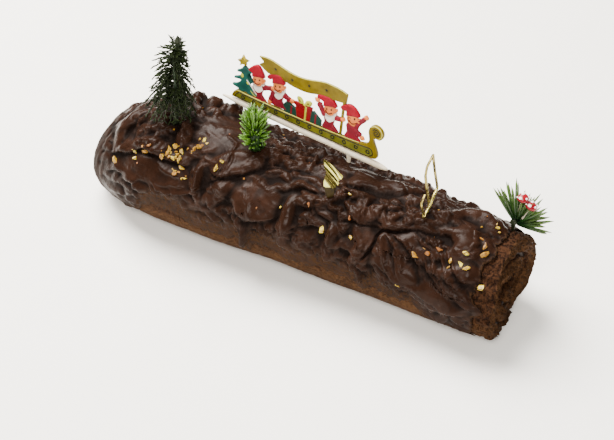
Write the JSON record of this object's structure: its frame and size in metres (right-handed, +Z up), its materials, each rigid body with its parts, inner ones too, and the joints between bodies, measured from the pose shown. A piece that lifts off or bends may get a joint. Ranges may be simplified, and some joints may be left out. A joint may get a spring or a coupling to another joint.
{
  "type": "yule log cake",
  "caption": "Chocolate yule log: a rolled sponge with a spiral filling under a thick chocolate coat with chopped nuts, dressed with festive plastic picks.",
  "frame": {"origin": "bottom centre of the whole cake's bounding box, on the table", "axes": "+X along the log towards its cut end, -Y towards its front, +Z up"},
  "size_m": [0.3434, 0.0996, 0.15],
  "materials": {
    "sponge": "open crumb",
    "filling": "soft chocolate cream",
    "icing": "satin chocolate",
    "fir_green": "moulded",
    "bright_green": "glossy",
    "ivory": "smooth",
    "topper_paint": "printed",
    "gold": "metallised foil",
    "needle_green": "satin",
    "mushroom_red": "glossy"
  },
  "bodies": {
    "root": {"sponge": "sponge", "filling": "filling", "icing": "icing", "fir_tree": "fir_green", "small_fir": "bright_green", "topper_bar": "ivory", "topper_plaque": "topper_paint", "gold_leaf": "gold", "gold_star": "gold", "pine_sprig": "needle_green", "mushroom_1": "mushroom_red", "mushroom_2": "mushroom_red"}
  },
  "joints": []
}
